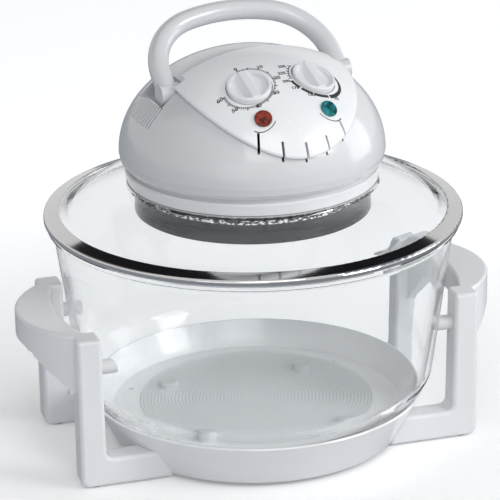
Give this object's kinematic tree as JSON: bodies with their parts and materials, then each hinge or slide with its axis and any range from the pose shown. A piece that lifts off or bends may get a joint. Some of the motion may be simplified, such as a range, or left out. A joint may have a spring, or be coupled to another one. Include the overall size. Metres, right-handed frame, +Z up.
{
  "type": "halogen oven",
  "caption": "Round glass bowl cooker in a two-handled carrying stand, with a steel-rimmed glass lid and a domed heater head that has knobs, lamps and a folding handle",
  "frame": {"origin": "On the worktop, on the vertical axis of bowl and head.", "axes": "Z up; the control panel faces -Y; X to the right seen from the front. The stand is turned 7 degrees clockwise, seen from above, against the head."},
  "size_m": [0.3962, 0.34, 0.3555],
  "materials": {
    "white_plastic": "gloss white moulding",
    "glass": "clear tempered glass",
    "steel": "polished steel",
    "brushed": "brushed sheet steel",
    "aluminium": "plain sheet aluminium",
    "zinc": "zinc-plated",
    "silicone": "pale grey silicone",
    "rubber": "black rubber",
    "red_lens": "red translucent lens",
    "green_lens": "green translucent lens",
    "quartz": "quartz tube",
    "tungsten": "coiled wire",
    "ceramic": "white ceramic",
    "grey_plastic": "grey moulding",
    "board": "pressed fibre board",
    "brass": "plain brass",
    "motor_steel": "dark lacquered steel"
  },
  "bodies": {
    "stand": {"tray_base": "white_plastic", "tray_pads": "silicone", "left_side_frame": "white_plastic", "right_side_frame": "white_plastic", "rubber_feet": "rubber", "frame_screws": "zinc", "bowl_pads": "silicone"},
    "bowl": {"glass_bowl": "glass"},
    "lid": {"glass_lid": "glass", "lid_rim": "steel", "rim_gasket": "silicone", "flange_gasket": "silicone", "base_flange": "white_plastic", "clamp_lugs": "brushed", "heater_skirt": "brushed", "vent_ring": "brushed", "rear_housing": "white_plastic", "front_panel": "white_plastic", "panel_screws": "zinc", "housing_screws": "zinc", "mains_inlet": "white_plastic", "timer_body": "grey_plastic", "thermostat_body": "grey_plastic", "red_lamp_lens": "red_lens", "green_lamp_lens": "green_lens", "lamp_holders": "grey_plastic", "handle_pins": "zinc", "safety_switch": "grey_plastic", "heat_shield": "brushed", "insulation_disc": "board", "reflector": "aluminium", "halogen_lamp": "quartz", "lamp_filament": "tungsten", "lamp_end_caps": "ceramic", "lamp_clips": "zinc", "fan_guard": "brushed", "thermostat_sensor": "brass", "motor_bracket": "brushed", "motor_body": "motor_steel", "motor_bushes": "brass", "thermal_cutout": "grey_plastic", "terminal_block": "grey_plastic"},
    "handle": {"carry_handle": "white_plastic"},
    "timer_control": {"timer_knob": "white_plastic", "timer_spindle": "zinc"},
    "thermostat_control": {"thermostat_knob": "white_plastic", "thermostat_spindle": "zinc"},
    "plunger": {"switch_plunger": "grey_plastic"},
    "rotor": {"motor_shaft": "zinc", "motor_rotor": "motor_steel", "convection_fan": "aluminium", "cooling_fan": "grey_plastic", "fan_nut": "zinc"}
  },
  "joints": [
    {"name": "bowl_lift", "type": "slide", "parent": "stand", "child": "bowl", "axis": [0, 0, 1], "range_m": [0, 0.12]},
    {"name": "lid_lift", "type": "slide", "parent": "bowl", "child": "lid", "axis": [0, 0, 1], "range_m": [0, 0.1]},
    {"name": "handle_fold", "type": "hinge", "parent": "lid", "child": "handle", "pos_m": [0, -0.0067, 0.3029], "axis": [-1, 0, 0], "range_deg": [-52, 16]},
    {"name": "timer_turn", "type": "hinge", "parent": "lid", "child": "timer_control", "pos_m": [-0.0276, -0.0588, 0.31712], "axis": [0.1793, 0.3685, -0.9122], "range_deg": [0, 300]},
    {"name": "thermostat_turn", "type": "hinge", "parent": "lid", "child": "thermostat_control", "pos_m": [0.0276, -0.0588, 0.31712], "axis": [-0.1793, 0.3685, -0.9122], "range_deg": [0, 280]},
    {"name": "switch_press", "type": "slide", "parent": "lid", "child": "plunger", "axis": [0, 0, -1], "range_m": [0, 0.0025], "stiffness_N_per_m": 150, "springref_m": -0.002},
    {"name": "fan_spin", "type": "hinge", "parent": "lid", "child": "rotor", "pos_m": [0, 0, 0.25], "axis": [0, 0, 1], "continuous": true}
  ]
}
